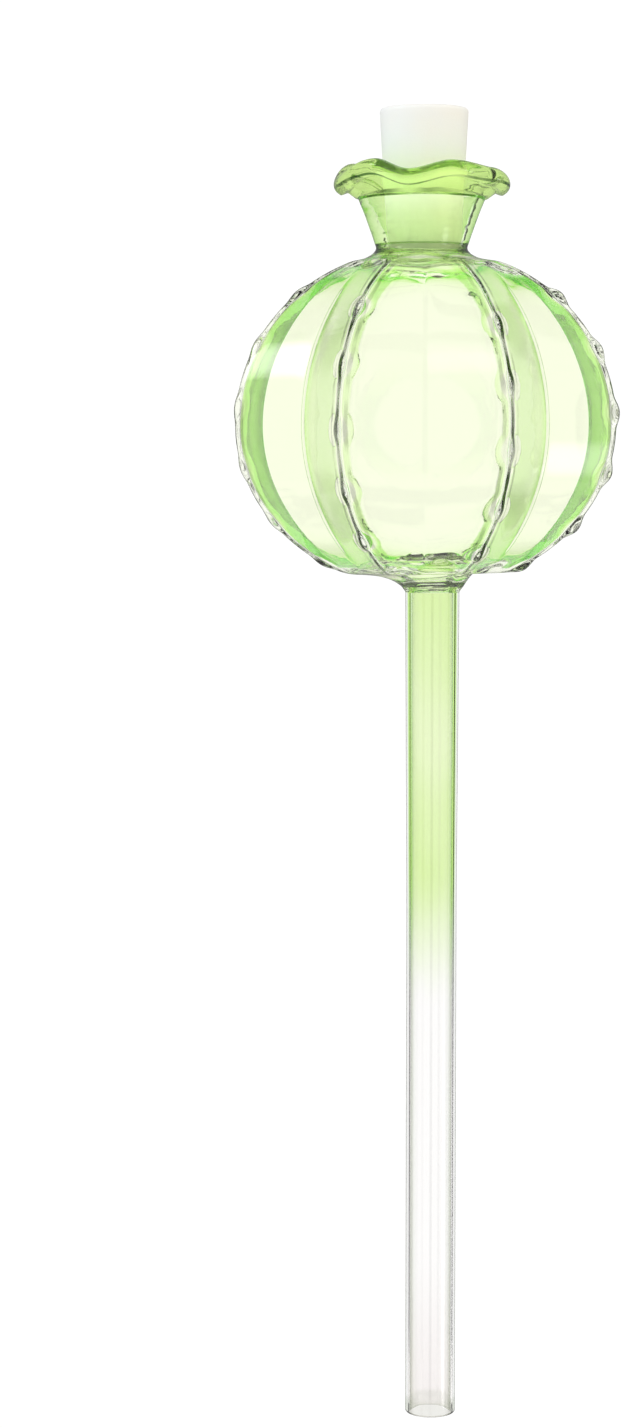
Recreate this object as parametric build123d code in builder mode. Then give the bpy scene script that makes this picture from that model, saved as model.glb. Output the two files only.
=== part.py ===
"""Cactus watering globe: a blown glass bulb on a hollow stem, with a silicone stopper.

Millimetres, +Z up. The origin is the centre of the stem's open tip, with the stem along +Z
and the front towards -Y. The glass is one fused vessel made of separately formed sections,
so each section is a solid of its own, and neighbours meet on flat rings. The stopper is the
only loose piece.
"""

import os
from math import acos, asin, cos, degrees, radians, sin, sqrt

from build123d import *

# Glass bulb: ribs round an egg-like body, with straight flanks from crest to valley
rib_count = 8
rib_crest_radius = 38.5
rib_valley_radius = 31.4
bulb_rise = 33.2
bulb_drop = 30.8
bulb_wall = 1.3
rib_fade_power = 6
loft_latitude_shares = (0.92, 0.76, 0.52, 0.26)

# The bulb and the neck are joined by hand, a little off the stem's axis
bulb_offset = 1.4
neck_offset = 2.2

# Nodules in a row along each rib's crest, staggered from rib to rib
nodule_radius = 2.0
nodule_rise = 0.7
nodule_rows = 6
nodule_top_latitude = 32.7
nodule_pitch_angle = 20.9
nodule_lowest_latitude = -62.0
nodule_stagger_share = 0.618

# Stem: a plain tube that widens a little towards the bulb. It is the longest section, and
# its length brings the whole object to 250 from the tip to the stopper's top
stem_radius = 4.8
stem_wall = 0.85
stem_length = 159.04
stem_plain_length = 100.0
stem_root_flare = 0.35
stem_tip_round = 0.4

# Ring where the stem is melted into the bulb
stem_weld_height = 1.1
stem_weld_flare = 0.75
stem_weld_bulge = 0.1

# Ring where the neck is melted into the bulb
neck_weld_height = 1.8
neck_weld_flare = 0.5
neck_weld_bulge = 0.3

# Neck: a funnel round the stopper's seat, flared towards the lip
neck_length = 8.8
neck_root_wall = 1.9
neck_top_radius = 12.1
neck_wall = 1.5
neck_flare = 0.3

# Lip: a rolled bead on a flange that rises out of the neck, gathered into waves
lip_overhang = 4.9
lip_bead_radius = 1.9
lip_bead_rise = 3.2
lip_flange_thickness = 1.6
lip_wave_count = 5
lip_wave_rise = 1.1
lip_wave_phase = 26.3
lip_wave_sharpness_share = 0.2
lip_steps_per_wave = 6

# Stopper: a tapered silicone plug that seats in the neck's throat
stopper_top_radius = 8.4
stopper_bottom_radius = 6.85
stopper_length = 27.3
stopper_reach = 0.1
stopper_offset = 1.8
stopper_top_round = 0.8
stopper_bottom_round = 0.5
stopper_seat_length = 2.8
stopper_seat_clearance = 0.06

# Cuts run past the faces that they open by this much
cut_overrun = 1.0


def turned_point(radius, turn):
    """Point at a radius, turned about +Z from the front, -Y, towards +X."""
    return (radius * sin(radians(turn)), -radius * cos(radians(turn)))


def ribbed_outline(crest, valley):
    """Corners of the bulb's cross-section, a crest and a valley for each rib."""
    rib_angle = 360 / rib_count
    points = []
    for rib in range(rib_count):
        points.append(turned_point(crest, rib_angle * (rib + 1 / 2)))
        points.append(turned_point(valley, rib_angle * (rib + 1)))
    return points


def bulb_height(latitude, wall):
    """Height of the bulb's surface at a latitude in degrees, set in by a wall."""
    reach = bulb_rise if latitude > 0 else bulb_drop
    return bulb_centre_height + (reach - wall) * sin(radians(latitude))


def bulb_radii(latitude, crest, valley):
    """Crest and valley radius at a latitude. The ribs fade out towards both poles."""
    fade = 1 - abs(sin(radians(latitude))) ** rib_fade_power
    share = 1 - (1 - valley / crest) * fade
    return crest * cos(radians(latitude)), crest * cos(radians(latitude)) * share


def bulb_latitudes(foot_radius, shoulder_radius, crest):
    """Latitudes of the lofted sections, from the foot's radius up to the shoulder's."""
    lowest = -degrees(acos(foot_radius / crest))
    highest = degrees(acos(shoulder_radius / crest))
    below = [lowest] + [lowest * share for share in loft_latitude_shares]
    above = [highest] + [highest * share for share in loft_latitude_shares]
    return below + [0.0] + above[::-1]


def nodule_planes():
    """Planes of the nodules along the crests, each with its x axis into the glass."""
    planes = []
    for rib in range(rib_count):
        turn = 360 / rib_count * (rib + 1 / 2)
        outward = Vector(*turned_point(1, turn), 0)
        stagger = rib * nodule_stagger_share % 1
        for row in range(nodule_rows):
            latitude = nodule_top_latitude + nodule_pitch_angle * (stagger - row)
            if latitude < nodule_lowest_latitude:
                continue
            reach = bulb_rise if latitude > 0 else bulb_drop
            level = rib_crest_radius * sin(radians(latitude))
            steep = reach * cos(radians(latitude))
            normal = (outward * steep + Vector(0, 0, level)).normalized()
            along = (Vector(0, 0, steep) - outward * level).normalized()
            crest = outward * rib_crest_radius * cos(radians(latitude))
            crest += Vector(-bulb_offset, 0, bulb_height(latitude, 0))
            centre = crest - normal * (nodule_radius - nodule_rise)
            planes.append(Plane(origin=centre, x_dir=-normal, z_dir=along))
    return planes


# Radii that neighbouring pieces share, from the stem up
stem_bore_radius = stem_radius - stem_wall
stem_root_radius = stem_radius + stem_root_flare
stem_weld_radius = stem_root_radius + stem_weld_flare
stopper_taper = (stopper_top_radius - stopper_bottom_radius) / stopper_length
throat_radius = stopper_bottom_radius + stopper_seat_clearance
seat_top_radius = throat_radius + stopper_taper * stopper_seat_length
neck_root_radius = throat_radius + neck_root_wall
neck_weld_radius = neck_root_radius + neck_weld_flare
neck_top_bore_radius = neck_top_radius - neck_wall
lip_radius = neck_top_radius + lip_overhang

# Heights that neighbouring pieces share, stacked from the stem up
bulb_bottom_height = stem_length + stem_weld_height
bulb_centre_height = bulb_bottom_height + bulb_drop * sin(acos(stem_weld_radius / rib_crest_radius))
neck_root_height = bulb_centre_height + bulb_rise * sin(acos(neck_weld_radius / rib_crest_radius))
neck_base_height = neck_root_height + neck_weld_height
neck_top_height = neck_base_height + neck_length
lip_bead_height = neck_top_height + lip_bead_rise
seat_base_height = neck_root_height - stopper_reach
seat_top_height = seat_base_height + stopper_seat_length
stopper_top_height = seat_base_height + stopper_length

# The bulb's inner surface lies one wall inside its straight flanks
half_rib = radians(180 / rib_count)
flank_square = rib_crest_radius**2 + rib_valley_radius**2
flank_length = sqrt(flank_square - 2 * rib_crest_radius * rib_valley_radius * cos(half_rib))
flank_inset = bulb_wall * flank_length / sin(half_rib)
inner_crest_radius = rib_crest_radius - flank_inset / rib_valley_radius
inner_valley_radius = rib_valley_radius - flank_inset / rib_crest_radius

neck_axis = Axis((-neck_offset, 0, 0), (0, 0, 1))
neck_side = Plane(origin=(-neck_offset, 0, 0), x_dir=(1, 0, 0), z_dir=(0, -1, 0))
stopper_axis = Axis((-stopper_offset, 0, 0), (0, 0, 1))
stopper_side = Plane(origin=(-stopper_offset, 0, 0), x_dir=(1, 0, 0), z_dir=(0, -1, 0))

# Stem tube, with its open tip's rims fire-polished
with BuildPart() as stem_tube:
    with BuildSketch(Plane.XZ):
        with BuildLine():
            Polyline(
                (0, 0),
                (stem_radius, 0),
                (stem_radius, stem_plain_length),
                (stem_root_radius, stem_length),
                (0, stem_length),
                close=True,
            )
        make_face()
    revolve(axis=Axis.Z)
    with BuildSketch(Plane.XY):
        Circle(stem_bore_radius)
    extrude(amount=stem_length, mode=Mode.SUBTRACT)
    fillet(stem_tube.edges().group_by(Axis.Z)[0], radius=stem_tip_round)
stem_tube.part.label = "stem_tube"

# Melted ring between the stem and the bulb
with BuildPart() as stem_weld:
    with BuildSketch(Plane.XZ):
        with BuildLine():
            lower = (stem_root_radius, stem_length)
            upper = (stem_weld_radius, bulb_bottom_height)
            middle_radius = (stem_root_radius + stem_weld_radius) / 2 + stem_weld_bulge
            middle = (middle_radius, stem_length + stem_weld_height / 2)
            inner_upper = (stem_bore_radius, bulb_bottom_height)
            Polyline(upper, inner_upper, (stem_bore_radius, stem_length), lower)
            ThreePointArc(lower, middle, upper)
        make_face()
    revolve(axis=Axis.Z)
stem_weld.part.label = "stem_weld"

# Ribbed bulb: outer surface and nodules first, then the hollow and its two ways out
with BuildPart() as globe_shell:
    for latitude in bulb_latitudes(stem_weld_radius, neck_weld_radius, rib_crest_radius):
        radii = bulb_radii(latitude, rib_crest_radius, rib_valley_radius)
        with BuildSketch(Plane(origin=(-bulb_offset, 0, bulb_height(latitude, 0)))):
            with BuildLine():
                Polyline(*ribbed_outline(*radii), close=True)
            make_face()
    loft()
    with Locations(*nodule_planes()):
        Sphere(nodule_radius)
    for latitude in bulb_latitudes(stem_bore_radius, throat_radius, inner_crest_radius):
        radii = bulb_radii(latitude, inner_crest_radius, inner_valley_radius)
        with BuildSketch(Plane(origin=(-bulb_offset, 0, bulb_height(latitude, bulb_wall)))):
            with BuildLine():
                Polyline(*ribbed_outline(*radii), close=True)
            make_face()
    loft(mode=Mode.SUBTRACT)
    with BuildSketch(Plane.XY.offset(bulb_bottom_height)):
        Circle(stem_bore_radius)
    extrude(amount=bulb_wall + cut_overrun, mode=Mode.SUBTRACT)
    with BuildSketch(Plane(origin=(-stopper_offset, 0, neck_root_height))):
        Circle(throat_radius)
    extrude(amount=-(bulb_wall + cut_overrun), mode=Mode.SUBTRACT)
globe_shell.part.label = "globe_shell"

# Melted ring between the bulb and the neck
with BuildPart() as neck_weld:
    with BuildSketch(neck_side):
        with BuildLine():
            lower = (neck_weld_radius, neck_root_height)
            upper = (neck_root_radius, neck_base_height)
            middle_radius = (neck_weld_radius + neck_root_radius) / 2 + neck_weld_bulge
            middle = (middle_radius, neck_root_height + neck_weld_height / 2)
            Polyline(upper, (0, neck_base_height), (0, neck_root_height), lower)
            ThreePointArc(lower, middle, upper)
        make_face()
    revolve(axis=neck_axis)
    with BuildSketch(Plane(origin=(-stopper_offset, 0, seat_base_height))):
        Circle(throat_radius)
    with BuildSketch(Plane(origin=(-stopper_offset, 0, seat_top_height))):
        Circle(seat_top_radius)
    loft(mode=Mode.SUBTRACT)
neck_weld.part.label = "neck_weld"

# Funnel neck: the throat that seats the stopper, then the flare
with BuildPart() as neck_collar:
    with BuildSketch(neck_side):
        with BuildLine():
            lower = (neck_root_radius, neck_base_height)
            upper = (neck_top_radius, neck_top_height)
            middle_radius = (neck_root_radius + neck_top_radius) / 2 - neck_flare
            middle = (middle_radius, (neck_base_height + neck_top_height) / 2)
            Polyline(upper, (0, neck_top_height), (0, neck_base_height), lower)
            ThreePointArc(lower, middle, upper)
        make_face()
    revolve(axis=neck_axis)
    with BuildSketch(Plane(origin=(-stopper_offset, 0, seat_base_height))):
        Circle(throat_radius)
    with BuildSketch(Plane(origin=(-stopper_offset, 0, seat_top_height))):
        Circle(seat_top_radius)
    loft(mode=Mode.SUBTRACT)
    with BuildSketch(Plane(origin=(-stopper_offset, 0, seat_top_height))):
        Circle(seat_top_radius)
    with BuildSketch(Plane(origin=(-neck_offset, 0, neck_top_height))):
        Circle(neck_top_bore_radius)
    loft(mode=Mode.SUBTRACT)
neck_collar.part.label = "neck_collar"

# Ruffled lip: one wave, from one narrow dip over a broad rise to the next dip, is lofted
# through radial sections and repeated round the neck
wave_angle = 360 / lip_wave_count
bead_centre_radius = lip_radius - lip_bead_radius
with BuildPart() as lip_wave:
    for step in range(lip_steps_per_wave + 1):
        turn = wave_angle * step / lip_steps_per_wave
        swing = radians(turn * lip_wave_count)
        lift = -lip_wave_rise * (cos(swing) + lip_wave_sharpness_share * cos(2 * swing))
        outward = turned_point(1, turn)
        sideways = (outward[1], -outward[0], 0)
        with BuildSketch(Plane(origin=(0, 0, 0), x_dir=(*outward, 0), z_dir=sideways)):
            with BuildLine():
                inner_root = (neck_top_bore_radius, neck_top_height)
                outer_root = (neck_top_radius, neck_top_height)
                bead_height = lip_bead_height + lift
                bead_bottom = (bead_centre_radius, bead_height - lip_bead_radius)
                bead_side = (lip_radius, bead_height)
                bead_top = (bead_centre_radius, bead_height + lip_bead_radius)
                flange_radius = (neck_top_bore_radius + bead_centre_radius) / 2
                flange_height = (neck_top_height + bead_bottom[1]) / 2 + lip_flange_thickness
                Polyline(inner_root, outer_root, bead_bottom)
                ThreePointArc(bead_bottom, bead_side, bead_top)
                ThreePointArc(bead_top, (flange_radius, flange_height), inner_root)
            make_face()
    loft()
with BuildPart(Plane(origin=(-neck_offset, 0, 0))) as mouth_lip:
    with PolarLocations(0, lip_wave_count, start_angle=lip_wave_phase + wave_angle / 2):
        add(lip_wave.part)
mouth_lip.part.label = "mouth_lip"

# Silicone stopper
with BuildPart() as stopper:
    with BuildSketch(stopper_side):
        with BuildLine():
            Polyline(
                (0, seat_base_height),
                (stopper_bottom_radius, seat_base_height),
                (stopper_top_radius, stopper_top_height),
                (0, stopper_top_height),
                close=True,
            )
        make_face()
    revolve(axis=stopper_axis)
    fillet(stopper.edges().group_by(Axis.Z)[-1], radius=stopper_top_round)
    fillet(stopper.edges().group_by(Axis.Z)[0], radius=stopper_bottom_round)
stopper.part.label = "stopper"

os.makedirs("parts", exist_ok=True)
for piece in (stem_tube, stem_weld, globe_shell, neck_weld, neck_collar, mouth_lip, stopper):
    export_step(piece.part, f"parts/{piece.part.label}.step")
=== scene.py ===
"""Looks of the cactus watering globe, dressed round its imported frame.

The glass is blown by hand: a ribbed bulb with nodules along the ribs, a funnel neck with a
rolled, wavy lip, and a long hollow stem that fades from green to clear. Each glass section
is a closed wall with a true inner and outer surface, and replaces its own node. Neighbouring
sections run into each other by a hair, so that light passes between them as in fused glass.
"""

import logging
from dataclasses import dataclass, field, replace
from enum import Enum
from math import acos, cos, pi, radians, sin
from typing import NamedTuple

import bpy
import numpy as np
from mathutils import Euler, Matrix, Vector
from numpy.typing import NDArray


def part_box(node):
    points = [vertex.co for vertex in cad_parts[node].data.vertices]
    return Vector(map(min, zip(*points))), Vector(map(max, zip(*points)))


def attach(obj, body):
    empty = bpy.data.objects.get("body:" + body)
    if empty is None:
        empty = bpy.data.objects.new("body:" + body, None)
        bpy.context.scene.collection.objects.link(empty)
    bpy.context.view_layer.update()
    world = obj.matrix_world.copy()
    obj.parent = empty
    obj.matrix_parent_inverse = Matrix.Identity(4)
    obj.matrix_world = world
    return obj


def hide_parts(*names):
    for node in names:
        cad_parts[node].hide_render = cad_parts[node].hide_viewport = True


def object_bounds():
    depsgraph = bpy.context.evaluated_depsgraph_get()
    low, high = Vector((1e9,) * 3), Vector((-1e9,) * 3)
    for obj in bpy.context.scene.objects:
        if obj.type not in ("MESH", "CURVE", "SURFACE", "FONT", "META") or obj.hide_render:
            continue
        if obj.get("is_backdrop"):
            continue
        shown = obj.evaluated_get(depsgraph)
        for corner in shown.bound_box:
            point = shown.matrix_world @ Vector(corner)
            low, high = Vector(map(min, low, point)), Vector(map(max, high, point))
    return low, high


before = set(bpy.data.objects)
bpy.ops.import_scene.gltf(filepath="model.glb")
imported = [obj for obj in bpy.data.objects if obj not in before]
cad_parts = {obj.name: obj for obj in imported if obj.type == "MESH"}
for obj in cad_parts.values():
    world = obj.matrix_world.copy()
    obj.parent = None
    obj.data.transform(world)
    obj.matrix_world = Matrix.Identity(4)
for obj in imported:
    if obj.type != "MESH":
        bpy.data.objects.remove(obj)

MM = 0.001
OVERLAP = 0.01 * MM
Grid = NDArray[np.float64]
Values = Grid | float
Colour = tuple[float, float, float]
Span = tuple[float, float]
Socket = bpy.types.NodeSocket
Look = bpy.types.Material
Feeds = dict[str | int, object]
WHITE: Colour = (1.0, 1.0, 1.0)
log = logging.getLogger("watering_globe")


class Body(Enum):
    """The two bodies that the pieces ride on."""

    VESSEL = "vessel"
    PLUG = "plug"


class Slot(Enum):
    """Material slots of the record."""

    GREEN_GLASS = "green_glass"
    STEM_GLASS = "stem_glass"
    SILICONE = "white_silicone"


class Noise(NamedTuple):
    """Noise of a material: its features in a metre, and its octaves of finer noise."""

    scale: float
    detail: float


def smooth_min(first: Grid, second: Grid, softness: Values) -> Grid:
    """Smaller of two values, with the corner between them rounded off.

    It is the mean of the two, less the root of half their difference squared plus the
    softness squared, so the corner itself is lowered by the softness.

    Args:
        first: Values on the grid.
        second: Values on the same grid.
        softness: How far the corner is cut back.

    Returns:
        The rounded minimum.
    """
    return (first + second) / 2 - np.sqrt(((first - second) / 2) ** 2 + softness**2)


def smooth_max(first: Grid, second: Grid, softness: Values) -> Grid:
    """Larger of two values, rounded at the corner. It is smooth_min turned over."""
    return -smooth_min(-first, -second, softness)


def smooth_step(value: Grid) -> Grid:
    """Rise from 0 to 1 as the value goes from 0 to 1, level at both ends: 3t² - 2t³."""
    share = np.clip(value, 0, 1)
    return share * share * (3 - 2 * share)


def hump(value: Grid) -> Grid:
    """Hump of height 1 from 0 to 1: t * (1 - t)² over its own peak, 4/27 at a third."""
    share = np.clip(value, 0, 1)
    return share * (1 - share) ** 2 * 27 / 4


def wrapped(angle: Grid) -> Grid:
    """Angle brought between minus and plus half a turn."""
    return (angle + pi) % (2 * pi) - pi


def even_turns(columns: int) -> Grid:
    """Angles of evenly spaced columns round the axis."""
    return np.linspace(0, 2 * pi, columns, endpoint=False)


def by_end(latitude: Grid, low: Values, high: Values) -> Grid:
    """One value for the rows of the bulb's lower half, another for those of its upper half."""
    return np.where(latitude < 0, low, high)


def unevenness(turn: Grid, height: Grid, slowest: float, seed: int, waves: int = 7) -> Grid:
    """Slow unevenness of hand-made glass, between about -1 and 1.

    It is a sum of sine waves. Each goes round the axis a whole number of times, so that it
    closes on itself, and leans along the height at a rate drawn from the seed.

    Args:
        turn: Angle round the axis in radians.
        height: Height in metres.
        slowest: Longest wave along the height, in metres.
        seed: Seed of the draws.
        waves: How many sine waves are added up.

    Returns:
        The unevenness at each point.
    """
    draw = np.random.default_rng(seed)
    total = np.zeros(np.broadcast(turn, height).shape)
    for order in range(1, waves + 1):
        around = draw.integers(0, 2 + order)
        along = draw.uniform(-1, 1) * 2 * pi * order / slowest
        phase = draw.uniform(0, 2 * pi)
        total = total + np.sin(around * turn + along * height + phase) / order
    return total / 2


def turned(radius: Grid, turn: Grid, height: Grid, axis_x: Values) -> Grid:
    """Points round an upright axis, turned from the front, -Y, towards +X.

    Args:
        radius: Distance from the axis.
        turn: Angle in radians.
        height: Height of each point.
        axis_x: Where the axis stands along X at each point.

    Returns:
        An array with x, y and z in its last place.
    """
    points = (radius * np.sin(turn) + axis_x, -radius * np.cos(turn), height)
    return np.stack(np.broadcast_arrays(*points), axis=-1)


def ring_faces(rows: int, columns: int, closed: bool) -> NDArray[np.int64]:
    """Four-cornered faces of a grid that closes round its columns.

    Args:
        rows: Points along the profile, which runs up the outside.
        columns: Points round the axis, from the front towards +X.
        closed: Whether the last row joins the first one.

    Returns:
        Corner indices, one row for each face, wound to face outwards.
    """
    lower = np.arange(rows if closed else rows - 1)
    row, column = np.meshgrid(lower, np.arange(columns), indexing="ij")
    above, beside = (row + 1) % rows, (column + 1) % columns
    corners = (
        row * columns + column,
        row * columns + beside,
        above * columns + beside,
        above * columns + column,
    )
    return np.stack(corners, axis=-1).reshape(-1, 4)


class Shell:
    """A mesh made of a grid of points round an axis."""

    CREASE = radians(38)

    @classmethod
    def hollow(
        cls, name: str, outer: Grid, inner: Grid, places: Grid | None = None
    ) -> bpy.types.Object:
        """A wall that is closed along its profile and round its axis.

        The faces of the inside take the piece's second material, and the outside and the
        two flat ends take its first one.

        Args:
            name: Name of the piece.
            outer: Grid of points up the outside.
            inner: Grid of points down the inside.
            places: Map coordinates of each point, for a material that asks for them.

        Returns:
            The piece, in the scene.
        """
        points = np.concatenate((outer, inner))
        rows, columns, _ = points.shape
        faces = ring_faces(rows, columns, closed=True)
        made = cls.piece(name, points.reshape(-1, 3), faces.tolist())
        row = np.arange(rows * columns) // columns
        inside = (row >= len(outer)) & (row < rows - 1)
        made.data.polygons.foreach_set("material_index", inside.astype(np.int32))
        if places is not None:
            corners = np.zeros(len(made.data.loops), dtype=np.int32)
            made.data.loops.foreach_get("vertex_index", corners)
            layer = made.data.uv_layers.new(name="places")
            layer.data.foreach_set("uv", places.reshape(-1, 2)[corners].ravel())
        return made

    @classmethod
    def solid(cls, name: str, points: Grid) -> bpy.types.Object:
        """A turned body, closed by a fan of faces at its first and last rows.

        Args:
            name: Name of the piece.
            points: Grid of points, whose rows go up the outside.

        Returns:
            The piece, in the scene.
        """
        rows, columns, _ = points.shape
        count = rows * columns
        centres = np.stack((points[0].mean(axis=0), points[-1].mean(axis=0)))
        column = np.arange(columns)
        beside = (column + 1) % columns
        top = count - columns
        foot = np.stack((np.full(columns, count), beside, column), axis=-1)
        head = np.stack((np.full(columns, count + 1), column + top, beside + top), axis=-1)
        faces = ring_faces(rows, columns, closed=False).tolist() + foot.tolist() + head.tolist()
        return cls.piece(name, np.concatenate((points.reshape(-1, 3), centres)), faces)

    @classmethod
    def piece(cls, name: str, points: Grid, faces: list[list[int]]) -> bpy.types.Object:
        """Smooth mesh object with creases where its faces meet at a sharp angle.

        Args:
            name: Name of the piece.
            points: Corner points.
            faces: Corner indices of each face.

        Returns:
            The piece, in the scene.
        """
        mesh = bpy.data.meshes.new(name)
        mesh.from_pydata(points.tolist(), [], faces)
        mesh.shade_smooth()
        mesh.set_sharp_from_angle(angle=cls.CREASE)
        mesh.update()
        made = bpy.data.objects.new(name, mesh)
        bpy.context.scene.collection.objects.link(made)
        return made


class NodeKit:
    """Short ways to add and join nodes in one node tree."""

    def __init__(self, tree: bpy.types.NodeTree) -> None:
        """Hold the tree that nodes are added to."""
        self.tree = tree

    def fill(self, node: bpy.types.Node, feeds: Feeds) -> bpy.types.Node:
        """Give a node its inputs. A colour is given as three channels, with an alpha of 1.

        Args:
            node: The node.
            feeds: Values, or sockets to link from, by the name or the place of the input.

        Returns:
            The node.
        """
        for key, value in feeds.items():
            socket = node.inputs[key]
            if isinstance(value, Socket):
                self.tree.links.new(value, socket)
            else:
                socket.default_value = (*value, 1) if socket.type == "RGBA" else value
        return node

    def add(self, kind: str, feeds: Feeds | None = None, **settings: object) -> bpy.types.Node:
        """New node of a kind.

        Args:
            kind: Blender's name for the node.
            feeds: What its inputs are given, as in fill.
            **settings: Attributes of the node.

        Returns:
            The node.
        """
        node = self.tree.nodes.new(kind)
        for key, value in settings.items():
            setattr(node, key, value)
        return self.fill(node, feeds or {})

    def math(self, operation: str, *values: float | Socket) -> Socket:
        """Result of a Math node over numbers or sockets."""
        return self.add("ShaderNodeMath", dict(enumerate(values)), operation=operation).outputs[0]

    def ramp(self, value: Socket, low: float | Socket, high: float | Socket) -> Socket:
        """Smooth rise from 0 where the value is at the low place to 1 at the high one."""
        feeds = {"Value": value, "From Min": low, "From Max": high}
        return self.add("ShaderNodeMapRange", feeds, interpolation_type="SMOOTHSTEP").outputs["Result"]

    def noise(self, place: Socket, noise: Noise) -> Socket:
        """Noise over a place, as a value between 0 and 1."""
        feeds = {"Vector": place, "Scale": noise.scale, "Detail": noise.detail}
        return self.add("ShaderNodeTexNoise", feeds).outputs["Fac"]

    def wander(self, place: Socket, noise: Noise, reach: float | Socket) -> Socket:
        """Noise about zero, which moves a line or a fade by up to half its reach."""
        return self.math("MULTIPLY", self.math("SUBTRACT", self.noise(place, noise), 0.5), reach)

    def mix(
        self, first: object, second: object, share: object, kind: str = "RGBA", mode: str = "MIX"
    ) -> Socket:
        """Colour or number that goes over from one to another with a share."""
        feeds = {"Factor": share, "A": first, "B": second}
        return self.add("ShaderNodeMix", feeds, data_type=kind, blend_type=mode).outputs["Result"]

    def tinted(self, first: object, second: object, share: object = 1) -> Socket:
        """First colour, multiplied by the second one as far as the share says."""
        return self.mix(first, second, share, mode="MULTIPLY")

    def place(self, pressed: float = 1) -> Socket:
        """Object coordinates, pressed together along Z by a factor."""
        feeds = {"Vector": self.add("ShaderNodeTexCoord").outputs["Object"], "Scale": (1, 1, pressed)}
        return self.add("ShaderNodeMapping", feeds).outputs["Vector"]

    def parts(self, vector: Socket) -> list[Socket]:
        """X, Y and Z of a vector."""
        return list(self.add("ShaderNodeSeparateXYZ", {0: vector}).outputs)

    def bump(self, height: Socket, distance: float) -> Socket:
        """Normal of a surface with a fine relief."""
        return self.add("ShaderNodeBump", {"Distance": distance, "Height": height}).outputs["Normal"]


class Kind(Enum):
    """Kinds of socket that a group can have."""

    NUMBER = "NodeSocketFloat"
    COLOUR = "NodeSocketColor"
    VECTOR = "NodeSocketVector"


class SharedGroup:
    """Shader node group that several materials share, built when it is first used."""

    NAME: str
    INPUTS: dict[str, Kind]
    OUTPUT: tuple[str, Kind]

    @classmethod
    def use(cls, kit: NodeKit, feeds: Feeds) -> Socket:
        """Add the group to a tree and give what it puts out."""
        tree = bpy.data.node_groups.get(cls.NAME) or cls.built()
        return kit.add("ShaderNodeGroup", feeds, node_tree=tree).outputs[0]

    @classmethod
    def built(cls) -> bpy.types.NodeTree:
        """Build the group: its sockets, and the nodes between them.

        Returns:
            The group.
        """
        tree = bpy.data.node_groups.new(cls.NAME, "ShaderNodeTree")
        for label, kind in cls.INPUTS.items():
            tree.interface.new_socket(label, in_out="INPUT", socket_type=kind.value)
        label, kind = cls.OUTPUT
        tree.interface.new_socket(label, in_out="OUTPUT", socket_type=kind.value)
        kit = NodeKit(tree)
        given = {socket.name: socket for socket in kit.add("NodeGroupInput").outputs}
        kit.add("NodeGroupOutput", {label: cls.result(kit, given)})
        return tree

    @classmethod
    def result(cls, kit: NodeKit, given: dict[str, Socket]) -> Socket:
        """What the group puts out, worked out from what it is given."""
        raise NotImplementedError


class PaintedEdgeShade(SharedGroup):
    """Glass colour that deepens where the glass turns away from the eye.

    The facing value, raised to its power, times the edge loss gives what each channel
    loses, as a natural logarithm. Flat-on glass keeps its base colour, and glass seen
    along its surface loses the whole of it. That darkening is partly the glass's own
    deeper colour along its longer path there, and partly painted shade, which draws the
    dark outlines that the studio's dark flags give at the edges of real glass.
    """

    NAME = "painted_edge_shade"
    INPUTS = {
        "Base Color": Kind.COLOUR,
        "Edge Shade Loss": Kind.VECTOR,
        "Facing": Kind.NUMBER,
        "Power": Kind.NUMBER,
    }
    OUTPUT = ("Color", Kind.COLOUR)

    @classmethod
    def result(cls, kit: NodeKit, given: dict[str, Socket]) -> Socket:
        """Base colour times what each channel keeps.

        Args:
            kit: Kit of the group's tree.
            given: The group's inputs by name.

        Returns:
            The socket with the colour.
        """
        rise = kit.math("POWER", given["Facing"], given["Power"])
        kept = []
        for loss in kit.parts(given["Edge Shade Loss"]):
            lost = kit.math("MULTIPLY", loss, rise)
            kept.append(kit.math("EXPONENT", kit.math("MULTIPLY", lost, -1)))
        joined = kit.add("ShaderNodeCombineColor", dict(enumerate(kept)))
        return kit.tinted(given["Base Color"], joined.outputs[0])


class RibShadeLines(SharedGroup):
    """Mask of the dark lines along the crests of the ribs and the creases of the lip.

    The lines are painted shade: they stand for the dark lines that crests and creases
    bend into view from the studio's dark flags. The map's first coordinate is the
    distance from a crest or a crease in millimetres, and the second one is how far the
    rib stands out there. One line runs at no distance and another at the second place.
    Noise moves both and thins them here and there. The first one keeps at least its
    thinnest share, and both fade out over the soft edge, which is given in shares of
    their width.
    """

    NAME = "painted_rib_shade_lines"
    INPUTS = {"Width": Kind.NUMBER, "Second Place": Kind.NUMBER, "Second Strength": Kind.NUMBER}
    OUTPUT = ("Mask", Kind.NUMBER)
    WANDER = Noise(320, 1)
    WANDER_REACH = 0.35
    SOFT_EDGE = (0.5, 1.0)
    THINNING = Noise(140, 1)
    THINNED = (0.3, 0.62)
    THINNEST = 0.55
    SHOWN = (0.1, 0.5)

    @classmethod
    def result(cls, kit: NodeKit, given: dict[str, Socket]) -> Socket:
        """Strength of the stronger line at a point.

        Args:
            kit: Kit of the group's tree.
            given: The group's inputs by name.

        Returns:
            The socket with the mask.
        """
        across, standing, _ = kit.parts(kit.add("ShaderNodeTexCoord").outputs["UV"])
        distance = kit.math("ADD", kit.wander(kit.place(), cls.WANDER, cls.WANDER_REACH), across)
        masks = []
        for place in (0, given["Second Place"]):
            away = kit.math("ABSOLUTE", kit.math("SUBTRACT", distance, place))
            share = kit.math("DIVIDE", away, given["Width"])
            masks.append(kit.math("SUBTRACT", 1, kit.ramp(share, *cls.SOFT_EDGE)))
        thinned = kit.ramp(kit.noise(kit.place(), cls.THINNING), *cls.THINNED)
        strength = kit.math("MULTIPLY_ADD", thinned, 1 - cls.THINNEST, cls.THINNEST)
        first = kit.math("MULTIPLY", masks[0], strength)
        beside = kit.math("MULTIPLY", kit.math("MULTIPLY", masks[1], given["Second Strength"]), thinned)
        return kit.math("MULTIPLY", kit.math("MAXIMUM", first, beside), kit.ramp(standing, *cls.SHOWN))


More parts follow.
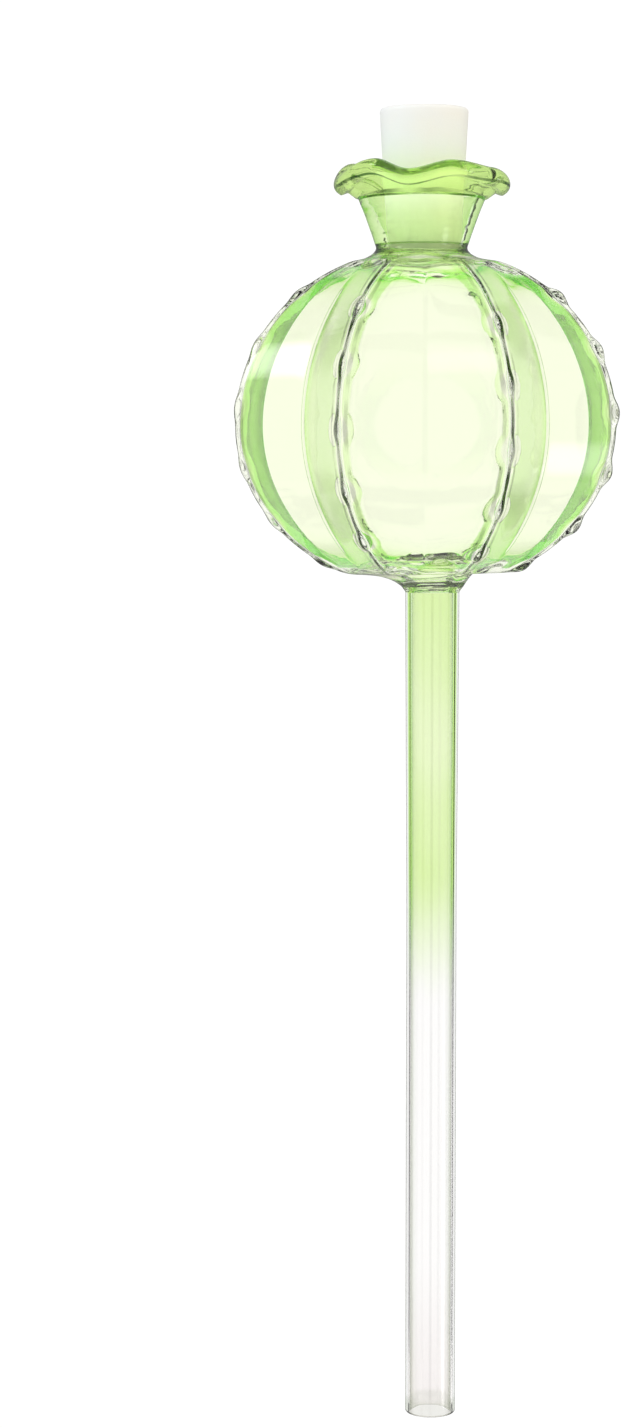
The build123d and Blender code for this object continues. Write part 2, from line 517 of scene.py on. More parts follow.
class BlownSurface(SharedGroup):
    """Height of hand-blown glass: a slow swell and fine drawn-out cords.

    The swell is round noise. The cords are noise pressed together along Z, so that they
    lie as faint level lines, as they do where glass was turned while hot.
    """

    NAME = "blown_surface"
    INPUTS = {"Swell": Kind.NUMBER, "Cords": Kind.NUMBER}
    OUTPUT = ("Height", Kind.NUMBER)
    SWELL = Noise(90, 1)
    CORDS = Noise(70, 2)
    CORDS_PRESSED = 7

    @classmethod
    def result(cls, kit: NodeKit, given: dict[str, Socket]) -> Socket:
        """Sum of the swell and the cords.

        Args:
            kit: Kit of the group's tree.
            given: The group's inputs by name.

        Returns:
            The socket with the height.
        """
        swell = kit.math("MULTIPLY", kit.noise(kit.place(), cls.SWELL), given["Swell"])
        cords = kit.noise(kit.place(cls.CORDS_PRESSED), cls.CORDS)
        return kit.math("ADD", swell, kit.math("MULTIPLY", cords, given["Cords"]))


class LengthFade(SharedGroup):
    """Colour that fades into another along Z, with drifting patches.

    A smooth rise between the low and the high place mixes the high colour into the low
    one. Noise that is drawn out along Z moves the place of the fade and gives the high
    colour its lighter and deeper patches.
    """

    NAME = "length_fade"
    INPUTS = {
        "Low Color": Kind.COLOUR,
        "High Color": Kind.COLOUR,
        "Pale Color": Kind.COLOUR,
        "Low": Kind.NUMBER,
        "High": Kind.NUMBER,
        "Drift": Kind.NUMBER,
    }
    OUTPUT = ("Color", Kind.COLOUR)
    DRAWN_OUT = 0.35
    DRIFT = Noise(110, 2)
    PATCHES = Noise(75, 1)
    PATCHED = (0.42, 0.68)

    @classmethod
    def result(cls, kit: NodeKit, given: dict[str, Socket]) -> Socket:
        """Low colour below the fade, and the two high colours in patches above it.

        Args:
            kit: Kit of the group's tree.
            given: The group's inputs by name.

        Returns:
            The socket with the colour.
        """
        place = kit.place(cls.DRAWN_OUT)
        height = kit.parts(kit.add("ShaderNodeTexCoord").outputs["Object"])[2]
        moved = kit.math("ADD", height, kit.wander(place, cls.DRIFT, given["Drift"]))
        rise = kit.ramp(moved, given["Low"], given["High"])
        patches = kit.ramp(kit.noise(place, cls.PATCHES), *cls.PATCHED)
        patched = kit.mix(given["High Color"], given["Pale Color"], patches)
        return kit.mix(given["Low Color"], patched, rise)

    @classmethod
    def between(
        cls,
        kit: NodeKit,
        low: Colour,
        high: Colour,
        span: Span,
        pale: Colour | None = None,
        drift: float = 0,
    ) -> Socket:
        """Fade between two colours.

        Args:
            kit: Kit of the material's own tree.
            low: Colour below the fade.
            high: Colour above it.
            span: Heights where the fade starts and ends.
            pale: Colour of the patches above it, where they differ.
            drift: How far the fade is moved up and down.

        Returns:
            The socket with the colour.
        """
        colours = {"Low Color": low, "High Color": high, "Pale Color": pale or high}
        return cls.use(kit, {**colours, "Low": span[0], "High": span[1], "Drift": drift})


def new_look(name: str) -> tuple[Look, NodeKit]:
    """New material with a Principled shader.

    Args:
        name: Name of the material.
    """
    made = bpy.data.materials.new(name)
    made.use_nodes = True
    return made, NodeKit(made.node_tree)


@dataclass(frozen=True)
class GlassFinish:
    """Blown glass, coloured on its surface or in its depth, with a faint swell.

    The base colour tints what passes straight through the surface, and the edge loss
    darkens what is seen along it: partly the glass's own deeper colour along the longer
    path, and partly painted shade at the grazing edges. The loss holds how much of red,
    green and blue a metre of the glass takes away, as natural logarithms. The depth
    scale keeps that colour pale.
    """

    name: str
    base: Colour = WHITE
    edge_shade_loss: Colour = (1.6, 1.4, 2.2)
    edge_power: float = 9.0
    loss: Colour = (0.0, 0.0, 0.0)
    refraction: float = 1.5
    swell: float = 0.05 * MM
    cords: float = 0.02 * MM
    depth_scale: float = 4.0

    def material(self) -> Look:
        """Material with the Principled shader, Layer Weight and absorption in its own tree.

        Returns:
            The material.
        """
        made, kit = new_look(self.name)
        relief = BlownSurface.use(kit, {"Swell": self.swell / MM, "Cords": self.cords / MM})
        feeds = {
            "Base Color": self.tint(kit),
            "Roughness": 0,
            "IOR": self.refraction,
            "Transmission Weight": 1.0,
            "Normal": kit.bump(relief, MM),
        }
        kit.fill(made.node_tree.nodes["Principled BSDF"], feeds)
        self.absorb(kit)
        return made

    def tint(self, kit: NodeKit) -> Socket:
        """Colour of the surface, with the deeper edge.

        Args:
            kit: Kit of the material's own tree.

        Returns:
            The socket that feeds Base Color.
        """
        # Layer Weight facing darkens the edges: partly the glass's own deeper colour, partly painted shade.
        feeds = {
            "Base Color": self.varied(kit),
            "Edge Shade Loss": self.edge_shade_loss,
            "Facing": kit.add("ShaderNodeLayerWeight").outputs["Facing"],
            "Power": self.edge_power,
        }
        return PaintedEdgeShade.use(kit, feeds)

    def varied(self, kit: NodeKit) -> Socket | Colour:
        """Base colour, which other finishes let change over the glass."""
        return self.base

    def absorb(self, kit: NodeKit) -> None:
        """Give the material its depth of colour, where the glass takes light away.

        Args:
            kit: Kit of the material's own tree.
        """
        density = max(self.loss) * self.depth_scale
        if density > 0:
            kept = [1 - part / density for part in self.loss]
            volume = kit.add("ShaderNodeVolumeAbsorption", {"Color": kept, "Density": density})
            kit.fill(kit.tree.nodes["Material Output"], {"Volume": volume.outputs[0]})


@dataclass(frozen=True)
class FadingFinish(GlassFinish):
    """Lining of the stem: green under the bulb, and fading to clear half way down."""

    pale_green: Colour = (0.82, 0.94, 0.58)
    clear: Colour = (0.985, 0.975, 0.965)
    fade: Span = (78 * MM, 107 * MM)
    fade_drift: float = 14 * MM
    tip_shade: Colour = (0.935, 0.905, 0.90)
    tip: Span = (3 * MM, 34 * MM)

    def varied(self, kit: NodeKit) -> Socket:
        """Base colour, faded along the stem and greyed at the tip."""
        faded = LengthFade.between(kit, self.clear, self.base, self.fade, self.pale_green, self.fade_drift)
        # The grey towards the tip is painted shade.
        return kit.tinted(faded, LengthFade.between(kit, self.tip_shade, WHITE, self.tip))


@dataclass(frozen=True)
class StemCasing(GlassFinish):
    """Outside of the stem: clear glass, with the colour of the wall just beside the bore.

    There light runs a long way through the coloured wall. The line is green under the
    bulb, where it is partly the wall's own green and partly painted shade, and grey on
    the clear half, where it is painted shade. A painted dark rim shades the stem's edges,
    and a painted grey shade darkens the glass just above the tip.
    """

    green_wall_and_shade_line: Colour = (0.32, 0.72, 0.06)
    grey_shade_line: Colour = (0.66, 0.64, 0.63)
    rim_shade_colour: Colour = (0.30, 0.33, 0.28)
    band_start: Span = (0.27, 0.42)
    band_end: Span = (0.52, 0.70)
    rim: Span = (0.72, 0.95)
    fade: Span = (78 * MM, 107 * MM)
    tip_shade: Colour = (0.76, 0.785, 0.73)
    tip: Span = (2.2 * MM, 3.6 * MM)

    def tint(self, kit: NodeKit) -> Socket:
        """Colour of the surface, with the line where it faces aside by a given share.

        Args:
            kit: Kit of the material's own tree.

        Returns:
            The socket that feeds Base Color.
        """
        facing = kit.add("ShaderNodeLayerWeight").outputs["Facing"]
        past = kit.math("SUBTRACT", 1, kit.ramp(facing, *self.band_end))
        band = kit.math("MULTIPLY", kit.ramp(facing, *self.band_start), past)
        # Painted line: grey painted shade on the clear half, the wall's green and painted shade under the
        # bulb.
        line = LengthFade.between(kit, self.grey_shade_line, self.green_wall_and_shade_line, self.fade)
        # Painted grey shade just above the tip.
        tip = LengthFade.between(kit, self.tip_shade, WHITE, self.tip)
        lined = kit.tinted(kit.tinted(super().tint(kit), line, band), tip)
        # Painted dark shade along the stem's outline.
        return kit.tinted(lined, self.rim_shade_colour, kit.ramp(facing, *self.rim))


@dataclass(frozen=True)
class RibbedFinish(GlassFinish):
    """Outside of the bulb: clear glass with dark lines along the crests of the ribs.

    The lines are painted shade. The lines' width and the second one's place are in
    millimetres.
    """

    line_shade_colour: Colour = (0.004, 0.012, 0.001)
    line_width: float = 0.4
    second_place: float = 1.35
    second_strength: float = 0.6
    back_share: float = 0.08

    def tint(self, kit: NodeKit) -> Socket:
        """Colour of the surface, with the lines, which are fainter from behind.

        Args:
            kit: Kit of the material's own tree.

        Returns:
            The socket that feeds Base Color.
        """
        feeds = {
            "Width": self.line_width,
            "Second Place": self.second_place,
            "Second Strength": self.second_strength,
        }
        behind = kit.add("ShaderNodeNewGeometry").outputs["Backfacing"]
        share = kit.math("MULTIPLY_ADD", behind, self.back_share - 1, 1)
        # Painted shade lines along the crests, mixed into the colour.
        mask = kit.math("MULTIPLY", RibShadeLines.use(kit, feeds), share)
        return kit.tinted(super().tint(kit), self.line_shade_colour, mask)


@dataclass(frozen=True)
class LipFinish(RibbedFinish):
    """Glass of the lip: green in uneven patches, with dark lines along its two creases.

    The dark lines are painted shade, where the bead and the crease would bend dark light
    into view. The green is left off for light that has crossed one wall already, as the
    rolled bead bends light back through the lip and would turn nearly black.
    """

    pale: Colour = (0.66, 0.86, 0.50)
    tint_depth: float = 1.5
    line_shade_colour: Colour = (0.02, 0.06, 0.01)
    line_width: float = 0.42
    second_place: float = -4.95
    second_strength: float = 1.0
    back_share: float = 0.0

    def varied(self, kit: NodeKit) -> Socket:
        """Base colour in two shades of green.

        Args:
            kit: Kit of the material's own tree.

        Returns:
            The socket with the colour.
        """
        green = LengthFade.between(kit, self.base, self.base, (0, 0), self.pale)
        depth = kit.add("ShaderNodeLightPath").outputs["Transmission Depth"]
        return kit.mix(green, WHITE, kit.math("GREATER_THAN", depth, self.tint_depth))


@dataclass(frozen=True)
class SiliconeFinish:
    """Milky silicone: soft, faintly mottled, with a satin skin and a fine moulded grain."""

    name: str = "milky_silicone"
    colour: Colour = (0.85, 0.865, 0.86)
    warm_colour: Colour = (0.88, 0.86, 0.81)
    roughness: float = 0.42
    glow: float = 0.25
    glow_depth: float = 2.5 * MM
    mottle: Noise = Noise(60, 3)
    mottled: Span = (0.35, 0.7)
    grain: Noise = Noise(2600, 2)
    grain_height: float = 0.02 * MM

    def material(self) -> Look:
        """Material with subsurface light, a mottle from noise and a fine bump.

        Returns:
            The material.
        """
        made, kit = new_look(self.name)
        place = kit.place()
        mottled = kit.ramp(kit.noise(place, self.mottle), *self.mottled)
        feeds = {
            "Base Color": kit.mix(self.colour, self.warm_colour, mottled),
            "Roughness": self.roughness,
            "Subsurface Weight": self.glow,
            "Subsurface Radius": (1, 1, 1),
            "Subsurface Scale": self.glow_depth,
            "Normal": kit.bump(kit.noise(place, self.grain), self.grain_height),
        }
        kit.fill(made.node_tree.nodes["Principled BSDF"], feeds)
        return made


# The edge loss of each finish below darkens its glass where it is seen edge-on: partly its own deeper
# colour, partly painted shade.
STEM_CASING = StemCasing("stem_clear_casing", swell=0.015 * MM, cords=0.004 * MM)
STEM_LINING = FadingFinish(
    "fading_stem_lining",
    base=(0.70, 0.89, 0.39),
    edge_shade_loss=(2.2, 1.8, 2.6),
    edge_power=3,
    swell=0.015 * MM,
    cords=0.004 * MM,
)
RIBBED_CASING = RibbedFinish(
    "ribbed_clear_casing", base=(0.975, 1.0, 0.88), swell=0.03 * MM, cords=0.01 * MM
)
# The lining's strong edge loss paints the bulb's green edge bands and dark outlines: partly the glass's
# deeper colour, partly painted shade.
LINING = GlassFinish(
    "pale_green_lining", base=(0.97, 0.995, 0.87), edge_shade_loss=(10.3, 1.6, 21.0), edge_power=5
)
NECK_GLASS = GlassFinish(
    "deep_green_glass",
    base=(0.86, 0.955, 0.69),
    edge_shade_loss=(1.8, 0.75, 2.9),
    edge_power=3,
    loss=(22, 5.5, 50),
    cords=0.06 * MM,
)
# The melted ring's strong grey edge loss is painted shade that darkens its edges.
RING_GLASS = replace(NECK_GLASS, name="melted_green_glass", edge_shade_loss=(16, 14, 18), edge_power=3.5)
LIP_GLASS = LipFinish(
    "lip_green_glass",
    base=(0.56, 0.79, 0.25),
    edge_shade_loss=(0.7, 0.5, 1.0),
    refraction=1.38,
    swell=0.015 * MM,
    cords=0.01 * MM,
)
SILICONE = SiliconeFinish()


@dataclass(frozen=True)
class NodeBox:
    """Where a node of the frame lies: its foot, its top and its upright middle line."""

    foot: float
    top: float
    middle_x: float
    radius: float

    @classmethod
    def of(cls, node: str) -> "NodeBox":
        """Read the box of a node: its heights, its middle and half its width along X."""
        low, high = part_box(node)
        return cls(low.z, high.z, (low.x + high.x) / 2, (high.x - low.x) / 2)

    def heights(self, share: Grid) -> Grid:
        """Heights at even shares of the box, with both ends run into the next sections.

        Args:
            share: Shares of the way from the foot to the top, from 0 to 1.

        Returns:
            The heights.
        """
        height = self.foot + (self.top - self.foot) * share
        height[0], height[-1] = self.foot - OVERLAP, self.top + OVERLAP
        return height


def stand_in(made: bpy.types.Object, node: str, body: Body, slot: Slot, *looks: Look) -> None:
    """Dress a piece, hide the node that it replaces and tie it to its body.

    Args:
        made: The piece.
        node: Node of the frame that it stands for.
        body: Body that it rides on.
        slot: Material slot of the record; not used.
        *looks: Its material, or those of its outside and its inside.
    """
    for look in (looks[0], looks[-1]):
        made.data.materials.append(look)
    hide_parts(node)
    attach(made, body.value)
    log.info("%s stands for %s: %d faces", made.name, node, len(made.data.polygons))


def glass_section(name: str, node: str, slot: Slot, wall: tuple[Grid, ...], *looks: Look) -> None:
    """Make a section of the vessel from its wall's grids, in the place of a node."""
    stand_in(Shell.hollow(name, *wall), node, Body.VESSEL, slot, *looks)


@dataclass
class RibbedBulb:
    """The bulb: eight ribs with straight flanks, and a row of nodules along each rib.

    Its rows follow a latitude, from below the middle to above it, and its columns a turn.
    The places of the nodules are latitudes in degrees.
    """

    casing: Look
    lining: Look
    rib_count: int = 8
    crest_radius: float = 38.5 * MM
    valley_radius: float = 31.4 * MM
    rise: float = 33.2 * MM
    drop: float = 30.8 * MM
    wall: float = 1.0 * MM
    foot_ring: float = 5.9 * MM
    foot_bore: float = 3.95 * MM
    shoulder_ring: float = 9.31 * MM
    throat: float = 6.91 * MM
    axis_x: float = -1.4 * MM
    neck_x: float = -2.2 * MM
    throat_x: float = -1.8 * MM
    fade_power: int = 6
    outer_softness: Span = (0.3 * MM, 0.08 * MM)
    inner_softness: Span = (0.22 * MM, 0.3 * MM)
    throat_softness: float = 0.5 * MM
    joint_reach: float = 8.0 * MM
    foot_fillet: float = 2.0 * MM
    fillet_lean: float = 0.7 * MM
    fillet_reach: float = 12 * MM
    foot_thickening: float = 0.6 * MM
    shoulder_thickening: float = -0.24 * MM
    lump_count: int = 19
    lump_seeds: tuple[int, int] = (17, 29)
    lump_scatter: Span = (-0.35, 0.35)
    lump_ring: Span = (8 * MM, 17 * MM)
    lump_size: Span = (1.3 * MM, 3.0 * MM)
    lump_height: Span = (0.5 * MM, 1.7 * MM)
    shoulder_dip: float = 0.5 * MM
    shoulder_reach: float = 7 * MM
    melt_reach: float = 12 * MM
    rib_drift: float = radians(1.8)
    drift_waves: Span = (0.62, 0.54)
    nodule_rows: int = 6
    nodule_top: float = 32.7
    nodule_pitch: float = 20.9
    nodule_lowest: float = -62.0
    nodule_stagger: float = 0.618
    nodule_height: float = 0.95 * MM
    nodule_seed: int = 11
    nodule_share: Span = (0.8, 1.0)
    nodule_half_length: float = 3.3 * MM
    nodule_half_width: float = 2.2 * MM
    flat_side: float = radians(-90)
    flat_reach: float = radians(38)
    flat_share: float = 0.75
    columns_per_flank: int = 22
    outer_rows: int = 166
    inner_rows: int = 112
    box: NodeBox = field(init=False)
    half_rib: float = field(init=False)
    centre: float = field(init=False)
    outside: Grid = field(init=False)
    inside: Grid = field(init=False)
    turn: Grid = field(init=False)
    from_crest: Grid = field(init=False)

    def __post_init__(self) -> None:
        """Work out the rows and the columns, which both surfaces share."""
        self.box = NodeBox.of("globe_shell")
        self.half_rib = pi / self.rib_count
        lowest = acos(self.foot_ring / self.crest_radius)
        highest = acos(self.shoulder_ring / self.crest_radius)
        self.centre = self.box.foot + self.drop * sin(lowest)
        self.outside = np.linspace(-lowest, highest, self.outer_rows)
        self.inside = np.linspace(pi / 2, -pi / 2, self.inner_rows)
        self.turn = self.column_turns()
        self.from_crest = np.abs((self.turn % (2 * self.half_rib)) - self.half_rib)

    def build(self) -> None:
        """Make the closed wall, from the foot up the outside and down the inside."""
        wall = (self.outer(), self.inner(), self.places())
        glass_section("bulb", "globe_shell", Slot.GREEN_GLASS, wall, self.casing, self.lining)

    def places(self) -> Grid:
        """Map coordinates: distance from the nearest crest in millimetres, and the rib's share.

        The share is how far the ribs stand out at a row, from 0 at the joints to 1.

        Returns:
            The two coordinates of each point.
        """
        # These coordinates place the bulb's painted shade lines.
        latitude = np.append(self.outside, self.inside)
        radius = self.crest_radius * np.cos(latitude) / MM
        ring = by_end(latitude, self.foot_ring, self.shoulder_ring)
        share = self.rib_share(latitude) * self.joined(radius * MM, ring)
        across = self.from_crest[None, :] * radius[:, None]
        return np.stack(np.broadcast_arrays(across, share[:, None]), axis=-1)

    def drifted(self) -> Grid:
        """True angles of the columns: the ribs at the front and the back stand wider apart.

        The shift is a sum of sines of four times and twice the angle, which widens the
        front and back panels and leaves the ribs at the sides where they are.

        Returns:
            The angles.
        """
        quarter, half = self.drift_waves
        return self.turn + self.rib_drift * (quarter * np.sin(4 * self.turn) + half * np.sin(2 * self.turn))

    def column_turns(self) -> Grid:
        """Angles of the columns, closer together at the crests and the valleys.

        In each flank the share of its angle is (1 - cos(pi * s)) / 2 for an even share s,
        counted from the crest, and mirrors on the other side.

        Returns:
            The angles, before the ribs drift.
        """
        flank = self.half_rib
        share = (1 - np.cos(pi * np.arange(self.columns_per_flank) / self.columns_per_flank)) / 2
        upward = flank * share
        downward = 2 * flank - flank * np.append(share[1:], 1.0)[::-1]
        one_rib = np.concatenate((upward, downward))
        crest = flank + 2 * flank * np.arange(self.rib_count)
        return (crest[:, None] + one_rib[None, :]).ravel()

    def flank_radius(self, crest: Grid, valley: Grid, softness: Span) -> Grid:
        """Radius of the ribbed outline at each row and column.

        A straight line joins a crest point and a valley point, half a rib apart. Seen from
        the axis, at an angle a from the crest, it lies at crest * valley * sin(half) over
        valley * sin(half - a) + crest * sin(a). The crest is the rounded minimum of the two
        lines that meet there, and the valley the rounded maximum.

        Args:
            crest: Radius at the crests, for each row.
            valley: Radius at the valleys, for each row.
            softness: How far the crest and the valley are rounded.

        Returns:
            The radii.
        """
        half, away = self.half_rib, self.from_crest[None, :]

        def line(angle: Grid) -> Grid:
            """Distance of the flank's line from the axis at an angle from its crest."""
            below = valley[:, None] * np.sin(half - angle) + crest[:, None] * np.sin(angle)
            return crest[:, None] * valley[:, None] * np.sin(half) / below

        share = (crest / crest.max())[:, None]
        ridge = smooth_min(line(away), line(-away), softness[0] * share)
        return smooth_max(ridge, line(2 * half - away), softness[1] * share)

    def rib_share(self, latitude: Grid) -> Grid:
        """How far the ribs stand out at a latitude: they fade towards both poles."""
        return 1 - np.abs(np.sin(latitude)) ** self.fade_power

    def rib_radii(self, latitude: Grid, crest: float, valley: float) -> tuple[Grid, Grid]:
        """Crest and valley radius at each latitude, from those at the widest row."""
        share = 1 - (1 - valley / crest) * self.rib_share(latitude)
        return crest * np.cos(latitude), crest * np.cos(latitude) * share

    def joined(self, radius: Grid, ring: Values) -> Grid:
        """Share of the bulb's own form, 0 at a joint's ring and 1 some way from it."""
        return smooth_step((radius - ring) / self.joint_reach)

    def outer(self) -> Grid:
        """Outer surface, from the foot's ring to the shoulder's ring.

        Returns:
            Grid of points.
        """
        latitude = self.outside
        plain = self.crest_radius * np.cos(latitude)
        own = self.joined(plain, by_end(latitude, self.foot_ring, self.shoulder_ring))
        crest, valley = self.rib_radii(latitude, self.crest_radius, self.valley_radius)
        ribbed = self.flank_radius(crest, valley, self.outer_softness)
        swell, lift = self.nodules(latitude)
        radius = plain[:, None] + (ribbed - plain[:, None]) * own[:, None] + swell
        height = self.centre + by_end(latitude, self.drop, self.rise) * np.sin(latitude)
        height[0] -= OVERLAP
        height[-1] += OVERLAP
        lift = lift + self.fillet(plain, latitude)
        ring_x = by_end(latitude, 0.0, self.neck_x)
        axis_x = ring_x + (self.axis_x - ring_x) * own
        return turned(radius, self.drifted(), height[:, None] + lift, axis_x[:, None])

    def fillet(self, radius: Grid, latitude: Grid) -> Grid:
        """Lift round the foot's ring, which blends the bulb into the stem, and the shoulder's dip.

        Both are humps over the distance from their ring. The one at the foot is higher on
        the right than on the left.

        Args:
            radius: Distance of each row from the axis.
            latitude: Latitude of each row.

        Returns:
            The lift of each point.
        """
        rise = by_end(latitude, hump((radius - self.foot_ring) / self.fillet_reach), 0)
        dip = by_end(latitude, 0, hump((radius - self.shoulder_ring) / self.shoulder_reach))
        raised = rise[:, None] * (self.foot_fillet + self.fillet_lean * np.sin(self.turn))[None, :]
        return raised - self.shoulder_dip * dip[:, None]

    def lumps(self, radius: Grid, latitude: Grid) -> Grid:
        """Thickness of the lumps of melted glass that lie inside round both joints.

        Each lump is a bell curve of the distance from its own place, and the places stand
        round the axis at uneven angles. The two ends take their own draws.

        Args:
            radius: Distance of each row from the axis.
            latitude: Latitude of each row.

        Returns:
            The thickness at each point.
        """
        total = np.zeros((len(radius), len(self.turn)))
        for end, seed in zip((-1, 1), self.lump_seeds):
            draw = np.random.default_rng(seed)
            own_end = (np.sign(latitude) == end)[:, None]
            for index in range(self.lump_count):
                way = 2 * pi * (index + draw.uniform(*self.lump_scatter)) / self.lump_count
                out = draw.uniform(*self.lump_ring)
                size = draw.uniform(*self.lump_size)
                thick = draw.uniform(*self.lump_height)
                beside = radius[:, None] * np.sin(self.turn - way)
                ahead = radius[:, None] * np.cos(self.turn - way) - out
                total = total + own_end * thick * np.exp(-(beside**2 + ahead**2) / size**2)
        return total

    def nodule_places(self) -> Grid:
        """Latitude and turn of each nodule, staggered from rib to rib.

        Returns:
            The places in radians, one row for each nodule.
        """
        places = []
        for rib in range(self.rib_count):
            stagger = rib * self.nodule_stagger % 1
            for row in range(self.nodule_rows):
                latitude = self.nodule_top + self.nodule_pitch * (stagger - row)
                if latitude >= self.nodule_lowest:
                    places.append((radians(latitude), self.half_rib * (2 * rib + 1)))
        return np.array(places)

    def nodules(self, latitude: Grid) -> tuple[Grid, Grid]:
        """Outward and upward shift of the surface under the nodules.

        Each nodule is an oval with q the sum of the squared distances along and across it,
        each over its half size. Its height is its full height times the square of 1 - q, and
        is less on the side where the glass was laid while it was soft. The shift stands
        square to the rib's crest.

        Args:
            latitude: Latitude of each row.

        Returns:
            The shift of the radius and of the height.
        """
        places = self.nodule_places()
        reach = by_end(places[:, 0], self.drop, self.rise)
        level = self.crest_radius * np.sin(places[:, 0])
        steep = reach * np.cos(places[:, 0])
        length = np.hypot(level, steep)
        along = (latitude[None, :] - places[:, :1]) * length[:, None]
        apart = wrapped(self.turn[None, :] - places[:, 1:])
        across = apart[:, None, :] * self.crest_radius * np.cos(latitude)[None, :, None]
        oval = (along / self.nodule_half_length)[:, :, None] ** 2 + (across / self.nodule_half_width) ** 2
        size = np.random.default_rng(self.nodule_seed).uniform(*self.nodule_share, len(places))
        flat = np.exp(-(wrapped(places[:, 1] - self.flat_side) ** 2) / self.flat_reach**2)
        size = (size * (1 - self.flat_share * flat))[:, None, None]
        bump = self.nodule_height * size * np.clip(1 - oval, 0, None) ** 2
        outward = (bump * (steep / length)[:, None, None]).sum(axis=0)
        upward = (bump * (level / length)[:, None, None]).sum(axis=0)
        return outward, upward

    def inner(self) -> Grid:
        """Inner surface, from the throat down to the stem's bore.

        It lies one wall inside the flanks, is rounded more than the outside, and thickens
        and ripples towards the two joints, where the glass was melted together.

        Returns:
            Grid of points.
        """
        crest, valley = self.crest_radius, self.valley_radius
        flank = np.sqrt(crest**2 + valley**2 - 2 * crest * valley * np.cos(self.half_rib))
        inset = self.wall * flank / sin(self.half_rib)
        crest, valley = crest - inset / valley, valley - inset / crest
        latitude = self.inside
        bore = by_end(latitude, self.foot_bore, self.throat)
        plain = smooth_max(crest * np.cos(latitude), bore, self.throat_softness)
        plain[0], plain[-1] = self.throat, self.foot_bore
        own = self.joined(plain, bore)
        crests, valleys = self.rib_radii(latitude, crest, valley)
        safe = np.maximum(crests, MM)
        ribbed = self.flank_radius(safe, np.maximum(valleys, MM), self.inner_softness)
        radius = plain[:, None] + (ribbed - safe[:, None]) * own[:, None]
        reach = by_end(latitude, self.drop, self.rise) - self.wall
        near = np.exp(-((plain / self.melt_reach) ** 2))
        thick = by_end(latitude, self.foot_thickening, self.shoulder_thickening)
        height = self.centre + reach * np.sin(latitude) + thick * near * own
        lumps = self.lumps(plain, latitude) * np.sqrt(own)[:, None]
        height = height[:, None] + by_end(latitude, 1, -1)[:, None] * lumps
        height = height + self.fillet(plain, latitude) * own[:, None]
        height[0], height[-1] = self.box.top + OVERLAP, self.box.foot - OVERLAP
        bore_x = by_end(latitude, 0.0, self.throat_x)
        axis_x = bore_x + (self.axis_x - bore_x) * own
        return turned(radius, self.drifted(), height, axis_x[:, None])


@dataclass
class Stem:
    """The hollow stem with its fire-polished tip, and the melted ring under the bulb."""

    casing: Look
    lining: Look
    ring_lining: Look
    radius: float = 4.8 * MM
    bore: float = 3.95 * MM
    plain_length: float = 100 * MM
    tip_round: float = 0.4 * MM
    ring_bulge: float = 0.06 * MM
    ring_top_radius: float = 5.9 * MM
    ring_power: float = 1.5
    uneven_height: float = 0.004 * MM
    uneven_length: float = 60 * MM
    uneven_seed: int = 3
    still_reach: float = 9 * MM
    columns: int = 128
    rows: int = 90
    rim_rows: int = 7
    ring_rows: int = 14

    def build(self) -> None:
        """Make the tube and the ring."""
        turn = even_turns(self.columns)
        box = NodeBox.of("stem_tube")
        glass_section("stem", "stem_tube", Slot.STEM_GLASS, self.tube(box, turn), self.casing, self.lining)
        ring = self.ring(NodeBox.of("stem_weld"), box.radius, turn)
        glass_section("stem_ring", "stem_weld", Slot.GREEN_GLASS, ring, self.casing, self.ring_lining)

    def tube(self, box: NodeBox, turn: Grid) -> tuple[Grid, Grid]:
        """Wall of the tube: up the outside, then down the bore, with a rounded tip.

        The outside is plain up to the plain length, then widens evenly to the root. The
        tip's two rims are quarter circles.

        Args:
            box: Box of the tube's node.
            turn: Angles of the columns.

        Returns:
            Grids of points up the outside and down the inside.
        """
        quarter = np.linspace(0, pi / 2, self.rim_rows)
        height = np.linspace(self.tip_round, box.top + OVERLAP, self.rows)
        widening = np.clip((height - self.plain_length) / (box.top - self.plain_length), 0, 1)
        radius = self.radius + (box.radius - self.radius) * widening
        rim_radius = self.radius - self.tip_round * (1 - np.sin(quarter[:-1]))
        rim_height = self.tip_round * (1 - np.cos(quarter[:-1]))
        bore_rim = self.bore + self.tip_round * (1 - np.cos(quarter[1:]))
        bore_rim_height = self.tip_round * (1 - np.sin(quarter[1:]))
        outside = (np.concatenate((rim_radius, radius)), np.concatenate((rim_height, height)))
        bore_radius = np.concatenate((np.full(self.rows, self.bore), bore_rim))
        inside = (bore_radius, np.concatenate((height[::-1], bore_rim_height)))
        grids = []
        for profile_radius, profile_height in (outside, inside):
            lifted = profile_height + box.foot
            uneven = unevenness(turn[None, :], lifted[:, None], self.uneven_length, self.uneven_seed)
            still = smooth_step(np.minimum(lifted, box.top - lifted) / self.still_reach)
            shift = self.uneven_height * np.abs(uneven) * still[:, None]
            grids.append(turned(profile_radius[:, None] - shift, turn, lifted[:, None], 0.0))
        return grids[0], grids[1]

    def ring(self, box: NodeBox, root_radius: float, turn: Grid) -> tuple[Grid, Grid]:
        """Wall of the ring: its outside bulges between the stem and the bulb.

        Args:
            box: Box of the ring's node.
            root_radius: Outer radius of the stem where the ring sits.
            turn: Angles of the columns.

        Returns:
            Grids of points up the outside and down the inside.
        """
        share = np.linspace(0, 1, self.ring_rows)
        radius = root_radius + (self.ring_top_radius - root_radius) * share**self.ring_power
        radius = radius + self.ring_bulge * np.sin(pi * share)
        height = box.heights(share)
        outer = turned(radius[:, None], turn, height[:, None], 0.0)
        return outer, turned(np.full((self.ring_rows, 1), self.bore), turn, height[::-1, None], 0.0)


